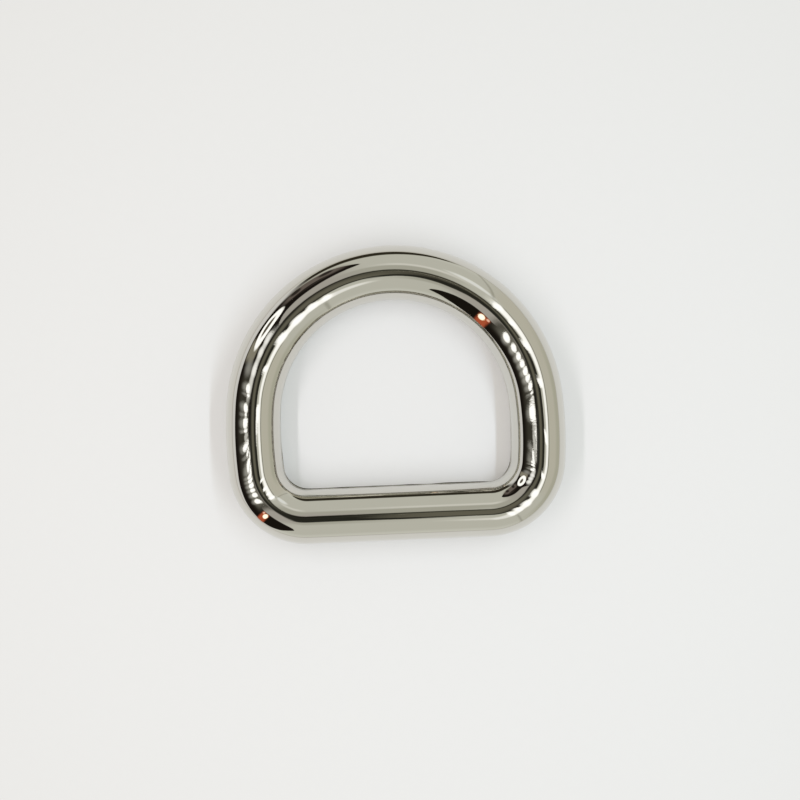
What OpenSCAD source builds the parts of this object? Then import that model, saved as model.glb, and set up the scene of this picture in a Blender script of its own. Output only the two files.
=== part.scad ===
// D ring for a strap: one closed casting of round section.
// It lies on Z = 0, centred on the origin, with its strap bar along X and its arch towards +Y.

/* [Opening] */
// Clear width of the opening, where it is widest
opening_w = 25; // [16:0.5:40]
// Height of the sides, from the strap bar's inner edge to the centre of the arch
side_h = 7.8; // [5:0.1:15]

/* [Section] */
// Diameter of the round section, at the corners and the arch
section_d = 5.9; // [3:0.1:8]
// How much less the radius of the strap bar and the sides is, so that their ends lap inside the rest
lap_depth = 0.005; // [0.002:0.001:0.02]

/* [Curves] */
// Inside radius of the two corners, beside the strap bar
corner_r = 2.6; // [1:0.1:5]
// Inside radius of the two sides, which bow outwards a little
side_r = 35; // [25:1:100]
// How much less the inside radius of the arch is than half the opening's width
arch_inset = 0.1; // [0:0.05:1]

/* [Hidden] */
$fn = 96;

// The arch is tangent to the sides, the sides to the corners and the corners to the strap bar,
// so each arc meets the next where the line through both centres crosses the outline.
arch_r = opening_w / 2 - arch_inset;
opening_h = side_h + arch_r;
arch_y = opening_h / 2 - arch_r;
side_x = opening_w / 2 - side_r;
side_y = arch_y - sqrt(pow(side_r - arch_r, 2) - pow(side_x, 2));
corner_y = corner_r - opening_h / 2;
corner_x = side_x + sqrt(pow(side_r - corner_r, 2) - pow(corner_y - side_y, 2));
side_start = atan2(corner_y - side_y, corner_x - side_x);
side_end = atan2(arch_y - side_y, -side_x);

// The strap bar and the sides run a little way into the corners and the arch. The run is so short
// that the bend they enter still covers them.
lapped_d = section_d - 2 * lap_depth;
lap_run = sqrt(lap_depth * (corner_r + section_d / 2)) / 2;
side_lap_angle = lap_run / (side_r + section_d / 2) * 180 / PI;

// A length of the round section, bent about a centre from one angle to another
module bend(x, y, inside_r, start, end, d = section_d) {
    translate([x, y, section_d / 2])
        rotate([0, 0, start])
            rotate_extrude(angle = end - start)
                translate([inside_r + section_d / 2, 0])
                    circle(d = d);
}

// The straight length that the strap goes round
module strap_bar() {
    translate([0, -(opening_h + section_d) / 2, section_d / 2])
        rotate([0, 90, 0])
            cylinder(h = 2 * (corner_x + lap_run), d = lapped_d, center = true);
}

// The right-hand corner, from the strap bar to the side
module corner() {
    bend(corner_x, corner_y, corner_r, -90, side_start);
}

// The right-hand side, from the corner to the arch
module side() {
    bend(side_x, side_y, side_r, side_start - side_lap_angle, side_end + side_lap_angle, lapped_d);
}

// The rounded end that the hook pulls on
module arch() {
    bend(0, arch_y, arch_r, side_end, 180 - side_end);
}

module d_ring() {
    color("silver") {
        strap_bar();
        for (flip = [0, 1])
            mirror([flip, 0, 0]) {
                corner();
                side();
            }
        arch();
    }
}

d_ring();
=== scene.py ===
"""D ring of polished nickel plate, lying on white paper under a camera that looks straight down.

All lengths are in metres. The ring's frame has +X along the strap bar, +Y from the bar to the
crown of the arch and +Z up. The room is described in the picture's own directions, which are
turned a little from the ring's: east is the picture's right and north is its top.
"""

import math

import bpy
from mathutils import Matrix, Vector, noise


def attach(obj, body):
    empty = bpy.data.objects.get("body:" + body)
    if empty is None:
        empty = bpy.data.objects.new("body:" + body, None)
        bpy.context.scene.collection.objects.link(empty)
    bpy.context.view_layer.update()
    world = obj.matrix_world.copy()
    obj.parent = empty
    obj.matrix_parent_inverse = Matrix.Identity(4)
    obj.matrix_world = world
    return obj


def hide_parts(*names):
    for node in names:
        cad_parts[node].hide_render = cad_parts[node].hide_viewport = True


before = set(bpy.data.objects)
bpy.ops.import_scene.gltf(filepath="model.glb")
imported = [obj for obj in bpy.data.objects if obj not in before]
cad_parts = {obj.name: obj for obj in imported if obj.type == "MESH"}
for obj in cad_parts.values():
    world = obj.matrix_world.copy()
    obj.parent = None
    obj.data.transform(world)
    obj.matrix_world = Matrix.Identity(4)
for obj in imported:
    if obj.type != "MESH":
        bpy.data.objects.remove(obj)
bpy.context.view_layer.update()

# How far off the room's walls stand, which makes every reflection the same from all over the ring
ROOM_RADIUS = 1.9
BACKDROP_RADIUS = 2.0
SHELL_RINGS = 32
SHELL_TURNS = 64
# How far a shell's end rings are from its poles, as a share of the way from pole to pole
SHELL_GAP = 0.001
PAPER_RADIUS = 1.8
PAPER_STEP = 5

# Sizes of the ring, the same as the source's
OPENING_W = 0.025
SIDE_H = 0.0078
SECTION_D = 0.0059
CORNER_R = 0.0026
SIDE_R = 0.035
ARCH_INSET = 0.0001

# Steps of the ring's skin along the outline, the fewest in one piece of it, and round the section
STEPS_ALONG = 640
STEPS_LEAST = 4
STEPS_ROUND = 134

# Height and length of the shallow waves that polishing leaves in the plated casting
WAVE_HEIGHT = 0.0000008
WAVE_LENGTH = 0.0010
SWELL_HEIGHT = 0.000003
SWELL_LENGTH = 0.0045
SWELL_SHIFT = Vector((7, 3, 5))

# The fine ridge that the mould left inside the bar and corners, where no polishing wheel reaches,
# with a dark tint painted along it: its height, its half width and the steps beside it in degrees,
# and where it starts to fade out
SEAM_HEIGHT = 0.00015
SEAM_HALF = 2.0
SEAM_STEPS = (-2.0, -1.4, -0.7, 0.7, 1.4, 2.0)
SEAM_TOP_Y = -0.001
SEAM_FADE = 0.009
SEAM_LENGTH = 0.003
# How much of the seam is left on average, and how much that changes along it
SEAM_LEFT = 0.75
SEAM_CHANGE = 0.6
# The share of the seam's height at which its painted dark tint, laid on the metal along the seam, is
# complete
SEAM_FULL = 0.5
# The near-black colour painted along the seam, and the roughness added there
SEAM_TINT = (0.055, 0.050, 0.040)
SEAM_ROUGHNESS = 0.45

# The picture: its size, where the ring's centre is in it, and its scale at half the ring's height
PICTURE_PX = 800
RING_X_PX = 393.7
RING_Y_PX = 392.3
SCALE_PX = 9210
RING_TURN = math.radians(2.4)
CAMERA_HEIGHT = 0.110
SENSOR_MM = 36
CLIP_START = 0.001
CLIP_END = 10

# The two strip lamps over the paper: distance to the side, height, width, ends and light
EAST_STRIP = (0.064, 0.134, 0.007, (-0.125, 0.085), (0.106, 0.120, 0.132))
WEST_STRIP = (-0.068, 0.131, 0.007, (-0.110, 0.080), (0.098, 0.093, 0.097))
ROOM_LIGHT = (0.627, 0.600, 0.510)

# The camera's response: straight up to SHOULDER, then softer up to WHITE_LEVEL
SHOULDER = ((0.60, 0.60), (0.76, 0.692), (1.05, 0.84), (1.30, 0.945))
WHITE_LEVEL = 1.5
# The response curve that all three colours share
SHARED_CURVE = 3

# How much light nickel sends back, and how far it spreads a reflection, from one spot to another
NICKEL_TINTS = ((0.525, 0.508, 0.462), (0.508, 0.492, 0.447))
NICKEL_ROUGHNESS = (0.010, 0.026)
# Noises, each with its scale and detail: nickel's spots, its fine polishing marks and paper's grain
SPOT_NOISE = (260, 4)
MARK_NOISE = (4200, 3)
PAPER_NOISE = (900, 5)
MARK_STRENGTH = 0.05
MARK_DEPTH = 0.00001
PAPER_TINTS = ((0.855, 0.855, 0.850), (0.835, 0.835, 0.830))
BACKDROP_LIGHT = (0.565, 0.54, 0.465)

# Light that the room gives off, as a share of ROOM_STRENGTH, where white paper under it is 1.05
ROOM_STRENGTH = 1.29
WALL = (0.612, 0.617, 0.545)
WALL_BRIGHT = (0.73, 0.74, 0.67)
WALL_EAST = (0.59, 0.575, 0.485)
WALL_LOW_EAST = (0.46, 0.465, 0.375)
WALL_LOW_WEST = (0.80, 0.79, 0.78)
WALL_PATCH = (1.05, 1.08, 1.03)
WALL_LINE = (0.22, 0.22, 0.18)
CEILING = (0.455, 0.455, 0.395)
CEILING_WEST = (0.44, 0.42, 0.39)
CEILING_EDGE = (0.88, 0.87, 0.80)
SKYLINE = (0.030, 0.026, 0.017)
GAP_DARK = (0.022, 0.022, 0.017)
GAP_GREY = (0.135, 0.130, 0.100)
DARK = (0.010, 0.008, 0.006)
BROWN = (0.16, 0.135, 0.12)
HAZE = (0.17, 0.165, 0.145)
HAZE_DIM = (0.045, 0.042, 0.033)
BEIGE = (0.32, 0.30, 0.24)
LAMP_EAST = (2.6, 2.6, 2.5)
LAMP_DIM = (1.25, 1.25, 1.16)
LAMP_STRIP = (2.05, 2.05, 1.95)
LAMP_WEST = (2.6, 2.6, 2.5)
LOOP_LIGHT = (2.4, 2.4, 2.3)
LOOP_MIDDLE = (0.12, 0.11, 0.09)
ORANGE = (0.50, 0.10, 0.045)
ORANGE_EDGE = (1.3, 0.62, 0.45)
ORANGE_CORE = (4.0, 3.0, 2.0)

# All angles in the room are in degrees. A span is its low and high end and how wide its edges are.
# A patch is its light, how fully it covers what is below, and its spans in azimuth and zenith angle.
EAST_WALL = (WALL_EAST, 1, (-32, 50, 14), (40, 90, 14))
LOW_EAST_WALL = (WALL_LOW_EAST, 0.8, (-50, 26, 34), (72, 91, 14))
LOW_WEST_WALL = (WALL_LOW_WEST, 1, (-60, 50, 16), (72, 130, 8))
NORTH_CEILING = (CEILING, 1, (66, 140, 24), (-10, 25, 7))
SOUTH_CEILING = (CEILING, 1, (-150, -92, 20), (-10, 30, 8))
WEST_CEILING = (CEILING_WEST, 1, (-66, 70, 20), (-10, 40, 10))
CEILING_RIM = (CEILING_EDGE, 0.75, (62, 96, 16), (26, 33, 5))
WORN_PATCH = (BEIGE, 0.85, (19, 27, 4), (36, 70, 8))
JOINED_LAMPS = (LAMP_WEST, 0.36, (3, 31, 9), (11, 25, 8))
ORANGE_GLOW = (ORANGE, 1, (-50.5, -45, 2), (43, 90, 12))
# The gap overhead is a patch too, with its spans in tilt to the east and tilt to the north
GAP = (GAP_DARK, 1, (-9, 19, 3), (-19, 7, 4))
GAP_MIDDLE = (GAP_GREY, 1, (-1, 9, 7), (-15, 3, 5))

# A spot is its light, how fully it covers, its centre, its half sizes and how soft its edge is
WALL_SPOT = (WALL_PATCH, 1, (59, 39), (10, 6), 0.9)
BROWN_SPOT = (BROWN, 0.9, (57, 57), (13, 12), 0.7)
DARK_SPOTS = ((DARK, 0.85, (63, 60), (3, 6), 0.8), (DARK, 0.85, (50, 61), (2.5, 7), 0.8),
              (DARK, 0.85, (54, 47), (9, 3), 0.8))
FAINT_LAMP = (LAMP_WEST, 0.25, (-5.9, 23), (0.8, 8), 0.8)
LAMP_SPILL = (LAMP_WEST, 0.10, (15.5, 44), (2.6, 13), 1.7)
LOOP = (LOOP_LIGHT, 1, (33, 47.5), (9.5, 13.5), 0.25)
LOOP_HOLE = (LOOP_MIDDLE, 1, (33.5, 48.5), (5, 6), 0.5)
ORANGE_SPOTS = ((ORANGE_EDGE, 1, (-45.8, 47), (0.8, 5), 0.7),
                (ORANGE_CORE, 1, (-48.8, 56), (1.5, 11), 0.7))

# An edge is a zenith angle that changes with azimuth, as pairs of the two
SKYLINE_TOP = ((64, 88), (76, 81), (84, 77), (98, 74), (120, 73), (132, 69), (144, 66))
SKYLINE_BOTTOM = ((64, 94), (76, 100), (84, 99), (98, 92), (120, 87), (132, 80), (144, 73))
SKYLINE_SOFT = 4
SKYLINE_SPAN = (68, 142, 9)
DARK_TOP = ((-75, 60), (-70, 48), (-60, 41), (-50, 39), (-44, 40), (-36, 16), (0, 6), (30, 8),
            (36, 20), (44, 30), (58, 32), (68, 37), (77, 47))
DARK_BOTTOM = ((-75, 60), (-70, 68), (-62, 81), (-54, 87), (-44, 87), (-32, 84), (-22, 79),
               (-8, 76), (12, 75), (30, 73), (42, 69), (54, 68), (64, 64), (72, 56), (77, 47))
DARK_SOFT = 3
DARK_SPAN = (-75, 76, 1.5)
STRIP_TOP = ((-84, 32), (-70, 32), (-60, 29), (-50, 27), (-36, 27), (-20, 27.5), (-5, 28),
             (10, 27), (25, 22), (40, 16), (50, 15))
STRIP_BOTTOM = ((-84, 38), (-72, 42), (-62, 44), (-50, 42), (-38, 40), (-28, 37), (-14, 34),
                (0, 33.5), (20, 34), (40, 32), (50, 31))
STRIP_SOFT = 7
STRIP_SPAN = (-63, 47, 6)
STRIP_DIM_SPAN = (-80, 48, 12)
# The shade below the strip: its span below the strip's edge, its span in azimuth and how it covers
STRIP_SHADE_BELOW = (1, 6, 4)
STRIP_SHADE_SPAN = (-34, 46, 10)
STRIP_SHADE_COVER = 0.85
# The black arc at the gap's rim: its edge by azimuth south of west, its spans and how it covers
RIM_EDGE = ((48, 5), (60, 8), (80, 15), (100, 20))
RIM_ACROSS = (-4, 3, 3)
RIM_SPAN = (-98, -50, 12)
RIM_COVER = 0.97

# The brighter low walls: the zenith angles over which they begin, and the span in the east without them
LOW_WALLS = (70, 88)
LOW_WALLS_LEFT_OUT = (-62, 62, 30)
# Two upright lines on the wall: the first by pairs of zenith angle and azimuth, the second by azimuth
CORNER_LINE = ((30, 49), (60, 52), (100, 62))
CORNER_LINE_TOP = 36
SOUTH_LINE = -59
SOUTH_LINE_TOP = 50
LINE_BOTTOM = 98
LINE_END_SOFT = 12
LINE_ACROSS = (-0.9, 0.9, 1.8)
LINE_COVER = 0.5

# The small lamps in the east and the west: azimuth, zenith angle and half sizes
EAST_LAMPS = ((-61, 34, 2.0, 9), (-54, 31, 2.6, 10), (-46, 32, 3.6, 12), (-36, 28, 3.0, 12),
              (-21.5, 25, 1.8, 8), (-5, 25, 1.3, 6), (10.5, 23, 1.8, 9), (25.5, 21, 2.4, 10),
              (36, 21, 1.8, 8), (45, 22, 2.2, 11))
EAST_LAMP_SOFT = 1.1
NORTH_WEST_LAMPS = ((29.8, 21, 2.4, 8), (23.5, 20, 2.0, 8), (16.5, 18, 2.4, 8))
NORTH_WEST_SOFT = 1.3
NORTH_WEST_COVER = 0.4
WEST_LAMPS = ((8.6, 25, 1.5, 8), (5.9, 20, 0.7, 5), (1.2, 26, 1.3, 8), (-0.8, 25, 0.5, 4),
              (-2.6, 26, 0.9, 9), (-4.2, 25, 0.5, 7), (-7.8, 27, 0.85, 12), (-9.9, 20, 0.5, 6),
              (-12.8, 21, 1.3, 9), (-16.2, 23, 1.4, 10), (-19.4, 25, 1.4, 10), (-22.9, 27, 1.5, 10),
              (-26.3, 29, 1.4, 10), (-30.5, 30, 1.7, 10), (-35.8, 33, 1.9, 12))
WEST_LAMP_SOFT = 0.6
# The faint streak below each lamp in the west: how far down its middle is, its half length, how soft
# it is and how it covers
STREAK_DROP = 8
STREAK_LENGTH = 16
STREAK_SOFT = 1.4
STREAK_COVER = 0.11
# The lamps in the west are parallel tubes, so they lean in azimuth by LAMP_LEAN over tan(zenith)
LAMP_LEAN = 1.26
LAMP_LEAN_START = 2.1
# The haze round them: its light, the zenith angles over which it begins, and its span in azimuth
WEST_HAZES = ((HAZE_DIM, (70, 44), (-44, 16, 8)), (HAZE, (60, 38), (-40, -13, 8)))
HAZE_TOP = (10, 16)


def arc_points(centre, radius, start, end, steps):
    """Points of an arc with their outward directions, the last one left to the next piece"""
    points = []
    for step in range(steps):
        angle = start + (end - start) * step / steps
        out = Vector((math.cos(angle), math.sin(angle), 0))
        points.append((Vector((centre[0], centre[1], 0)) + out * radius, out))
    return points


def outline():
    """Half of the section's centre line, from the middle of the bar to the crown, with directions"""
    half = SECTION_D / 2
    arch_r = OPENING_W / 2 - ARCH_INSET
    opening_h = SIDE_H + arch_r
    arch_y = opening_h / 2 - arch_r
    side_x = OPENING_W / 2 - SIDE_R
    side_y = arch_y - math.sqrt((SIDE_R - arch_r) ** 2 - side_x ** 2)
    corner_y = CORNER_R - opening_h / 2
    corner_x = side_x + math.sqrt((SIDE_R - CORNER_R) ** 2 - (corner_y - side_y) ** 2)
    side_start = math.atan2(corner_y - side_y, corner_x - side_x)
    side_end = math.atan2(arch_y - side_y, -side_x)
    bar_y = -opening_h / 2 - half
    arcs = [
        ((corner_x, corner_y), CORNER_R + half, -math.pi / 2, side_start),
        ((side_x, side_y), SIDE_R + half, side_start, side_end),
        ((0, arch_y), arch_r + half, side_end, math.pi / 2),
    ]
    total = corner_x + sum(radius * (end - start) for _, radius, start, end in arcs)
    steps = max(STEPS_LEAST, round(STEPS_ALONG / 2 * corner_x / total))
    down = Vector((0, -1, 0))
    points = [(Vector((corner_x * step / steps, bar_y, 0)), down) for step in range(steps)]
    for centre, radius, start, end in arcs:
        steps = max(STEPS_LEAST, round(STEPS_ALONG / 2 * radius * (end - start) / total))
        points += arc_points(centre, radius, start, end, steps)
    crown = Vector((0, arch_y + arch_r + half, 0))
    return points + [(crown, Vector((0, 1, 0)))]


def whole_outline():
    """The closed centre line, with the left half as the mirror image of the right"""
    right = outline()
    left = [(Vector((-p.x, p.y, 0)), Vector((-d.x, d.y, 0))) for p, d in reversed(right[1:-1])]
    return right + left


def surface_wave(place):
    """How far the polished skin stands off the true round section at a place"""
    fine = noise.noise(place / WAVE_LENGTH)
    broad = noise.noise(place / SWELL_LENGTH + SWELL_SHIFT)
    return WAVE_HEIGHT * fine + SWELL_HEIGHT * broad


def section_angles():
    """Angles round the section, evenly spaced, with a few more beside the seam at 180 degrees"""
    even = [360 * step / STEPS_ROUND for step in range(STEPS_ROUND)]
    return [math.radians(angle) for angle in sorted(even + [180 + step for step in SEAM_STEPS])]


def seam_share(place, angle):
    """How much of the seam's ridge and its painted dark tint shows at a place: it changes here and
    there, and is gone from the arch
    """
    across = max(0, 1 - abs(math.degrees(angle) - 180) / SEAM_HALF)
    along = min(1, max(0, (SEAM_TOP_Y - place.y) / SEAM_FADE))
    seam_left_here = min(1, SEAM_LEFT + SEAM_CHANGE * noise.noise(place / SEAM_LENGTH))
    return across * along * seam_left_here


def ring_mesh():
    """The ring's skin: a round section carried along the outline, with polishing waves and the seam"""
    half = SECTION_D / 2
    up = Vector((0, 0, 1))
    spine = whole_outline()
    angles = section_angles()
    corners = []
    seams = []
    for middle, out in spine:
        for angle in angles:
            normal = out * math.cos(angle) + up * math.sin(angle)
            place = middle + up * half + normal * half
            seams.append(seam_share(place, angle))
            corners.append(place + normal * (surface_wave(place) + SEAM_HEIGHT * seams[-1]))
    faces = []
    count = len(spine)
    around = len(angles)
    for along in range(count):
        for step in range(around):
            here = along * around
            there = (along + 1) % count * around
            turn = (step + 1) % around
            faces.append((here + step, there + step, there + turn, here + turn))
    mesh = bpy.data.meshes.new("ring_skin")
    mesh.from_pydata(corners, [], faces)
    mesh.attributes.new("seam", "FLOAT", "POINT").data.foreach_set("value", seams)
    mesh.shade_smooth()
    return mesh


class Nodes:
    """A node tree that is built one step at a time"""

    def __init__(self, tree):
        tree.nodes.clear()
        self.tree = tree

    def add(self, kind, **settings):
        """A new node"""
        node = self.tree.nodes.new(kind)
        for name, value in settings.items():
            setattr(node, name, value)
        return node

    def put(self, socket, value):
        """Links a socket to another one, or sets its value"""
        if isinstance(value, bpy.types.NodeSocket):
            self.tree.links.new(value, socket)
        elif value is not None:
            socket.default_value = (*value, 1) if isinstance(value, tuple) else value

    def math(self, operation, first, second=None):
        """One step of arithmetic on one or two values"""
        node = self.add("ShaderNodeMath", operation=operation)
        self.put(node.inputs[0], first)
        self.put(node.inputs[1], second)
        return node.outputs[0]

    def fade(self, value, start, end):
        """0 before start and 1 after end, with a smooth step between them"""
        node = self.add("ShaderNodeMapRange", interpolation_type="SMOOTHSTEP")
        self.put(node.inputs["Value"], value)
        self.put(node.inputs["From Min"], start)
        self.put(node.inputs["From Max"], end)
        return node.outputs[0]

    def between(self, value, low, high, soft):
        """1 between low and high, with edges as wide as soft"""
        half = soft / 2
        rise = self.fade(value, self.math("SUBTRACT", low, half), self.math("ADD", low, half))
        fall = self.fade(value, self.math("ADD", high, half), self.math("SUBTRACT", high, half))
        return self.math("MULTIPLY", rise, fall)

    def edge(self, azimuth, points):
        """A zenith angle that changes smoothly with azimuth, through a few given points"""
        first, last = points[0][0], points[-1][0]
        place = self.add("ShaderNodeMapRange")
        self.put(place.inputs["Value"], azimuth)
        self.put(place.inputs["From Min"], first)
        self.put(place.inputs["From Max"], last)
        node = self.add("ShaderNodeFloatCurve")
        curve = node.mapping.curves[0]
        spots = [((at - first) / (last - first), zenith / 100) for at, zenith in points]
        curve.points[0].location = spots[0]
        curve.points[1].location = spots[-1]
        for spot in spots[1:-1]:
            curve.points.new(*spot)
        node.mapping.update()
        self.put(node.inputs["Value"], place.outputs[0])
        return self.math("MULTIPLY", node.outputs[0], 100)

    def oval(self, azimuth, zenith, centre, size, soft):
        """1 inside an oval of given half sizes, with an edge as wide as a share of its size"""
        across = self.math("DIVIDE", self.math("SUBTRACT", azimuth, centre[0]), size[0])
        down = self.math("DIVIDE", self.math("SUBTRACT", zenith, centre[1]), size[1])
        across_squared = self.math("MULTIPLY", across, across)
        down_squared = self.math("MULTIPLY", down, down)
        far = self.math("SQRT", self.math("ADD", across_squared, down_squared))
        return self.fade(far, 1 + soft / 2, 1 - soft / 2)

    def over(self, share, top, below, cover=1):
        """One colour laid over another, where cover is how fully it hides the one below"""
        if cover != 1:
            share = self.math("MULTIPLY", share, cover)
        node = self.add("ShaderNodeMix", data_type="RGBA")
        factor, first, second = node.inputs[0], node.inputs[6], node.inputs[7]
        self.put(factor, share)
        self.put(first, below)
        self.put(second, top)
        return node.outputs[2]

    def patch(self, colour, azimuth, zenith, patch):
        """A patch of light laid over a colour"""
        light, cover, across, down = patch
        share = self.math("MULTIPLY", self.between(azimuth, *across), self.between(zenith, *down))
        return self.over(share, light, colour, cover)

    def spot(self, colour, azimuth, zenith, spot):
        """A spot of light laid over a colour"""
        light, cover, centre, size, soft = spot
        return self.over(self.oval(azimuth, zenith, centre, size, soft), light, colour, cover)

    def cloud(self, place, scale, detail):
        """A cloudy noise"""
        node = self.add("ShaderNodeTexNoise")
        self.put(node.inputs["Vector"], place)
        node.inputs["Scale"].default_value = scale
        node.inputs["Detail"].default_value = detail
        return node.outputs[0]

    def finish(self, shader, kind="ShaderNodeOutputMaterial"):
        """Sends a shader to the surface"""
        self.put(self.add(kind).inputs["Surface"], shader.outputs[0])


def new_material(name):
    """A material with its node tree still empty"""
    material = bpy.data.materials.new(name)
    material.use_nodes = True
    return material, Nodes(material.node_tree)


def room_directions(nodes):
    """Zenith angle, azimuths from east and from west, and tilts to east and north, in degrees"""
    coordinates = nodes.add("ShaderNodeTexCoord")
    turned = nodes.add("ShaderNodeMapping")
    turned.inputs["Rotation"].default_value = (0, 0, RING_TURN)
    turned.inputs["Scale"].default_value = (1 / ROOM_RADIUS,) * 3
    nodes.put(turned.inputs["Vector"], coordinates.outputs["Object"])
    parts = nodes.add("ShaderNodeSeparateXYZ")
    nodes.put(parts.inputs[0], turned.outputs[0])
    x, y, z = parts.outputs
    zenith = nodes.math("DEGREES", nodes.math("ARCCOSINE", z))
    from_east = nodes.math("DEGREES", nodes.math("ARCTAN2", y, x))
    from_west = nodes.math("DEGREES", nodes.math("ARCTAN2", y, nodes.math("MULTIPLY", x, -1)))
    tilt_east = nodes.math("DEGREES", nodes.math("ARCTAN2", x, z))
    tilt_north = nodes.math("DEGREES", nodes.math("ARCTAN2", y, z))
    return zenith, from_east, from_west, tilt_east, tilt_north


def walls(nodes, zenith, east):
    """The pale walls, with their shades, corners and the dark line along the skyline in the north"""
    low = nodes.fade(zenith, *LOW_WALLS)
    away = nodes.math("SUBTRACT", 1, nodes.between(east, *LOW_WALLS_LEFT_OUT))
    colour = nodes.over(nodes.math("MULTIPLY", low, away), WALL_BRIGHT, WALL)
    colour = nodes.patch(colour, east, zenith, EAST_WALL)
    colour = nodes.patch(colour, east, zenith, LOW_EAST_WALL)
    colour = nodes.spot(colour, east, zenith, WALL_SPOT)
    corner = nodes.edge(zenith, CORNER_LINE)
    for at, top in ((corner, CORNER_LINE_TOP), (SOUTH_LINE, SOUTH_LINE_TOP)):
        line = nodes.between(nodes.math("SUBTRACT", east, at), *LINE_ACROSS)
        height = nodes.between(zenith, top, LINE_BOTTOM, LINE_END_SOFT)
        colour = nodes.over(nodes.math("MULTIPLY", line, height), WALL_LINE, colour, LINE_COVER)
    top = nodes.edge(east, SKYLINE_TOP)
    bottom = nodes.edge(east, SKYLINE_BOTTOM)
    shade = nodes.between(zenith, top, bottom, SKYLINE_SOFT)
    shade = nodes.math("MULTIPLY", shade, nodes.between(east, *SKYLINE_SPAN))
    return nodes.over(shade, SKYLINE, colour)


def ceiling(nodes, colour, zenith, east, west, tilt_east, tilt_north):
    """The greyer ceiling in the north and west, and the dark gap overhead with its black rim"""
    colour = nodes.patch(colour, east, zenith, NORTH_CEILING)
    colour = nodes.patch(colour, east, zenith, SOUTH_CEILING)
    colour = nodes.patch(colour, west, zenith, WEST_CEILING)
    colour = nodes.patch(colour, east, zenith, CEILING_RIM)
    colour = nodes.patch(colour, tilt_east, tilt_north, GAP)
    colour = nodes.patch(colour, tilt_east, tilt_north, GAP_MIDDLE)
    arc = nodes.edge(nodes.math("MULTIPLY", west, -1), RIM_EDGE)
    shade = nodes.between(nodes.math("SUBTRACT", zenith, arc), *RIM_ACROSS)
    shade = nodes.math("MULTIPLY", shade, nodes.between(west, *RIM_SPAN))
    return nodes.over(shade, GAP_DARK, colour, RIM_COVER)


def dark_side(nodes, colour, zenith, west):
    """The open, dark west side of the room, with a brown patch in it and the pale floor below"""
    colour = nodes.patch(colour, west, zenith, LOW_WEST_WALL)
    top = nodes.edge(west, DARK_TOP)
    bottom = nodes.edge(west, DARK_BOTTOM)
    shade = nodes.between(zenith, top, bottom, DARK_SOFT)
    shade = nodes.math("MULTIPLY", shade, nodes.between(west, *DARK_SPAN))
    colour = nodes.over(shade, DARK, colour)
    for spot in (BROWN_SPOT, *DARK_SPOTS):
        colour = nodes.spot(colour, west, zenith, spot)
    return colour


def lamp_row(nodes, azimuth, zenith, lamps, soft):
    """1 inside any of a row of small lamps"""
    share = 0
    for at, height, width, length in lamps:
        lamp = nodes.oval(azimuth, zenith, (at, height), (width, length), soft)
        share = nodes.math("MAXIMUM", share, lamp)
    return share


def east_lamp(nodes, colour, zenith, east):
    """The long strip in the east, with its dim end, the small lamps along it and the shade below it"""
    top = nodes.edge(east, STRIP_TOP)
    bottom = nodes.edge(east, STRIP_BOTTOM)
    below = nodes.between(nodes.math("SUBTRACT", zenith, bottom), *STRIP_SHADE_BELOW)
    shade = nodes.math("MULTIPLY", below, nodes.between(east, *STRIP_SHADE_SPAN))
    colour = nodes.over(shade, WALL_LINE, colour, STRIP_SHADE_COVER)
    strip = nodes.between(zenith, top, bottom, STRIP_SOFT)
    for light, span in ((LAMP_DIM, STRIP_DIM_SPAN), (LAMP_STRIP, STRIP_SPAN)):
        share = nodes.math("MULTIPLY", strip, nodes.between(east, *span))
        colour = nodes.over(share, light, colour)
    lamps = lamp_row(nodes, east, zenith, EAST_LAMPS, EAST_LAMP_SOFT)
    return nodes.over(lamps, LAMP_EAST, colour)


def west_haze(nodes, colour, zenith, west):
    """The faint haze round the lamps in the west, and the light that joins some of them"""
    for light, bottom, span in WEST_HAZES:
        haze = nodes.math("MULTIPLY", nodes.fade(zenith, *bottom), nodes.between(west, *span))
        haze = nodes.math("MULTIPLY", haze, nodes.fade(zenith, *HAZE_TOP))
        colour = nodes.over(haze, light, colour)
    colour = nodes.patch(colour, west, zenith, WORN_PATCH)
    return nodes.patch(colour, west, zenith, JOINED_LAMPS)


def west_lamp(nodes, colour, zenith, west):
    """The row of small lamps in the west, with a faint streak below each"""
    lean = nodes.math("DIVIDE", LAMP_LEAN, nodes.math("TANGENT", nodes.math("RADIANS", zenith)))
    along = nodes.math("ADD", west, nodes.math("SUBTRACT", lean, LAMP_LEAN_START))
    streaks = [(at, height + STREAK_DROP, width, STREAK_LENGTH)
               for at, height, width, _ in WEST_LAMPS]
    streak = lamp_row(nodes, along, zenith, streaks, STREAK_SOFT)
    colour = nodes.over(streak, LAMP_WEST, colour, STREAK_COVER)
    colour = nodes.spot(colour, along, zenith, FAINT_LAMP)
    blurred = lamp_row(nodes, along, zenith, NORTH_WEST_LAMPS, NORTH_WEST_SOFT)
    colour = nodes.over(blurred, LAMP_WEST, colour, NORTH_WEST_COVER)
    colour = nodes.spot(colour, along, zenith, LAMP_SPILL)
    lamps = lamp_row(nodes, along, zenith, WEST_LAMPS, WEST_LAMP_SOFT)
    return nodes.over(lamps, LAMP_WEST, colour)


def loop_lamp(nodes, colour, zenith, west):
    """The ring-shaped lamp in the north-west"""
    colour = nodes.spot(colour, west, zenith, LOOP)
    return nodes.spot(colour, west, zenith, LOOP_HOLE)


def orange_lamp(nodes, colour, zenith, west):
    """The small orange light in the south-west, with two bright cores"""
    colour = nodes.patch(colour, west, zenith, ORANGE_GLOW)
    for spot in ORANGE_SPOTS:
        colour = nodes.spot(colour, west, zenith, spot)
    return colour


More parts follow.
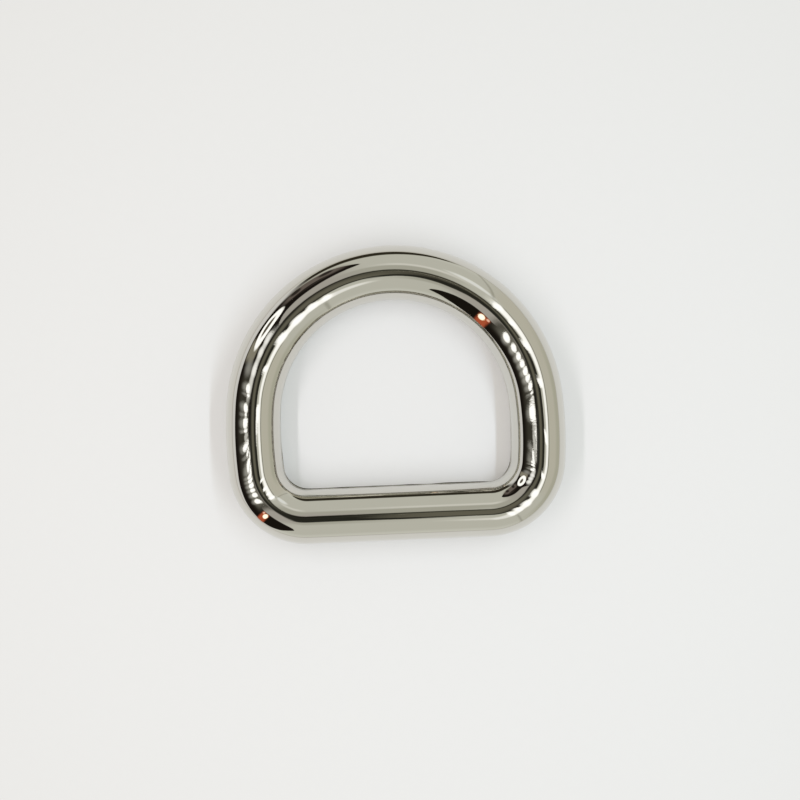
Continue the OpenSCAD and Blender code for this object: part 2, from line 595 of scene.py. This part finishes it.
def room_paint():
    """Everything round the ring that it reflects, drawn by direction"""
    material, nodes = new_material("room_paint")
    material.cycles.emission_sampling = "NONE"
    zenith, east, west, tilt_east, tilt_north = room_directions(nodes)
    colour = walls(nodes, zenith, east)
    colour = ceiling(nodes, colour, zenith, east, west, tilt_east, tilt_north)
    colour = dark_side(nodes, colour, zenith, west)
    colour = west_haze(nodes, colour, zenith, west)
    colour = west_lamp(nodes, colour, zenith, west)
    colour = loop_lamp(nodes, colour, zenith, west)
    colour = orange_lamp(nodes, colour, zenith, west)
    colour = east_lamp(nodes, colour, zenith, east)
    light = nodes.add("ShaderNodeEmission")
    nodes.put(light.inputs["Color"], colour)
    light.inputs["Strength"].default_value = ROOM_STRENGTH
    nodes.finish(light)
    return material


def make_room_light():
    """The soft light from all round that falls on the paper"""
    world = bpy.data.worlds.new("room_light")
    world.use_nodes = True
    bpy.context.scene.world = world
    nodes = Nodes(world.node_tree)
    light = nodes.add("ShaderNodeBackground")
    nodes.put(light.inputs["Color"], ROOM_LIGHT)
    nodes.finish(light, "ShaderNodeOutputWorld")


def add_strip(name, strip):
    """A long, narrow lamp that lights the paper and throws the ring's crisp shadows"""
    x, height, width, ends, light = strip
    data = bpy.data.lights.new(name, "AREA")
    data.shape = "RECTANGLE"
    data.size = width
    data.size_y = ends[1] - ends[0]
    data.energy = 1
    data.color = light
    lamp = bpy.data.objects.new(name, data)
    bpy.context.scene.collection.objects.link(lamp)
    turn = Matrix.Rotation(-RING_TURN, 4, "Z")
    place = Matrix.Translation((x, sum(ends) / 2, height))
    tilt = Matrix.Rotation(math.atan2(x, height), 4, "Y")
    lamp.matrix_world = turn @ place @ tilt
    lamp.visible_camera = False
    lamp.visible_glossy = False


def nickel():
    """Polished nickel plate: a slightly warm mirror with faint haze, polishing marks and a rougher seam
    with a dark tint painted along it
    """
    material, nodes = new_material("nickel_plate")
    place = nodes.add("ShaderNodeTexCoord").outputs["Object"]
    spots = nodes.cloud(place, *SPOT_NOISE)
    haze = nodes.add("ShaderNodeMapRange")
    nodes.put(haze.inputs["Value"], spots)
    haze.inputs["To Min"].default_value, haze.inputs["To Max"].default_value = NICKEL_ROUGHNESS
    seam = nodes.add("ShaderNodeAttribute", attribute_name="seam").outputs["Fac"]
    # The seam's painted dark tint: a near-black colour laid over the nickel, with added roughness
    seam_tint_share = nodes.fade(seam, 0, SEAM_FULL)
    tint = nodes.over(seam_tint_share, SEAM_TINT, nodes.over(spots, *NICKEL_TINTS))
    rough = nodes.math("ADD", haze.outputs[0], nodes.math("MULTIPLY", seam_tint_share, SEAM_ROUGHNESS))
    bump = nodes.add("ShaderNodeBump")
    bump.inputs["Strength"].default_value = MARK_STRENGTH
    bump.inputs["Distance"].default_value = MARK_DEPTH
    nodes.put(bump.inputs["Height"], nodes.cloud(place, *MARK_NOISE))
    metal = nodes.add("ShaderNodeBsdfPrincipled")
    metal.inputs["Metallic"].default_value = 1
    nodes.put(metal.inputs["Base Color"], tint)
    nodes.put(metal.inputs["Roughness"], rough)
    nodes.put(metal.inputs["Normal"], bump.outputs[0])
    nodes.finish(metal)
    return material


def paper():
    """Matt white paper, seen from above only"""
    material, nodes = new_material("paper")
    place = nodes.add("ShaderNodeTexCoord").outputs["Object"]
    grain = nodes.cloud(place, *PAPER_NOISE)
    sheet = nodes.add("ShaderNodeBsdfDiffuse")
    nodes.put(sheet.inputs["Color"], nodes.over(grain, *PAPER_TINTS))
    clear = nodes.add("ShaderNodeBsdfTransparent")
    side = nodes.add("ShaderNodeNewGeometry")
    mix = nodes.add("ShaderNodeMixShader")
    nodes.put(mix.inputs[0], side.outputs["Backfacing"])
    nodes.put(mix.inputs[1], sheet.outputs[0])
    nodes.put(mix.inputs[2], clear.outputs[0])
    nodes.finish(mix)
    return material


def backdrop_glow():
    """A plain surface that gives off the same light all over"""
    material, nodes = new_material("backdrop_glow")
    light = nodes.add("ShaderNodeEmission")
    nodes.put(light.inputs["Color"], BACKDROP_LIGHT)
    nodes.finish(light)
    return material


def add_object(name, mesh, material):
    """An object with one mesh and one material"""
    mesh.materials.clear()
    mesh.materials.append(material)
    obj = bpy.data.objects.new(name, mesh)
    bpy.context.scene.collection.objects.link(obj)
    return obj


def make_ring():
    """The whole ring, which stands for the node d_ring"""
    ring = add_object("nickel_ring", ring_mesh(), nickel())
    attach(ring, "root")
    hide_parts("d_ring")


def make_floor():
    """A wide round sheet of paper at the ring's lowest point"""
    mesh = bpy.data.meshes.new("paper_sheet")
    turns = [math.radians(angle) for angle in range(0, 360, PAPER_STEP)]
    rim = [(PAPER_RADIUS * math.cos(turn), PAPER_RADIUS * math.sin(turn), 0) for turn in turns]
    mesh.from_pydata(rim, [], [tuple(range(len(rim)))])
    add_object("floor", mesh, paper())


def add_shell(name, radius, material):
    """A round shell about the ring, which nothing sees until it is told to"""
    mesh = bpy.data.meshes.new(name)
    corners = []
    for ring in range(SHELL_RINGS + 1):
        zenith = math.pi * (SHELL_GAP + (1 - 2 * SHELL_GAP) * ring / SHELL_RINGS)
        for turn in range(SHELL_TURNS):
            azimuth = 2 * math.pi * turn / SHELL_TURNS
            corners.append((radius * math.sin(zenith) * math.cos(azimuth),
                            radius * math.sin(zenith) * math.sin(azimuth),
                            radius * math.cos(zenith)))
    faces = []
    for ring in range(SHELL_RINGS):
        here = ring * SHELL_TURNS
        there = here + SHELL_TURNS
        for turn in range(SHELL_TURNS):
            other = (turn + 1) % SHELL_TURNS
            faces.append((here + turn, here + other, there + other, there + turn))
    mesh.from_pydata(corners, [], faces)
    shell = add_object(name, mesh, material)
    shell.visible_camera = False
    shell.visible_diffuse = False
    shell.visible_glossy = False
    shell.visible_transmission = False
    shell.visible_volume_scatter = False
    shell.visible_shadow = False
    return shell


def make_surroundings():
    """The room that the ring reflects, and the plain backdrop that the camera sees"""
    add_shell("room", ROOM_RADIUS, room_paint()).visible_glossy = True
    add_shell("backdrop", BACKDROP_RADIUS, backdrop_glow()).visible_camera = True


def make_camera():
    """Looks straight down, with the ring where it is in the picture"""
    centre = (PICTURE_PX - 1) / 2
    right = (centre - RING_X_PX) / SCALE_PX
    above = (RING_Y_PX - centre) / SCALE_PX
    turn = Vector((math.cos(RING_TURN), math.sin(RING_TURN)))
    data = bpy.data.cameras.new("camera")
    data.sensor_width = SENSOR_MM
    data.lens = SENSOR_MM * SCALE_PX * CAMERA_HEIGHT / PICTURE_PX
    data.clip_start = CLIP_START
    data.clip_end = CLIP_END
    camera = bpy.data.objects.new("camera", data)
    bpy.context.scene.collection.objects.link(camera)
    camera.location = (turn.x * right + turn.y * above,
                       turn.x * above - turn.y * right,
                       SECTION_D / 2 + CAMERA_HEIGHT)
    camera.rotation_euler = (0, 0, -RING_TURN)
    bpy.context.scene.camera = camera


def set_look():
    """A plain response with a soft shoulder, as a camera gives bright paper"""
    scene = bpy.context.scene
    scene.view_settings.view_transform = "Standard"
    scene.view_settings.look = "None"
    scene.view_settings.use_curve_mapping = True
    mapping = scene.view_settings.curve_mapping
    mapping.white_level = (WHITE_LEVEL,) * 3
    curve = mapping.curves[SHARED_CURVE]
    for light, shown in SHOULDER:
        curve.points.new(light / WHITE_LEVEL, shown)
    mapping.update()
    scene.cycles.use_denoising = True


make_ring()
make_floor()
make_surroundings()
make_room_light()
add_strip("east_strip", EAST_STRIP)
add_strip("west_strip", WEST_STRIP)
make_camera()
set_look()
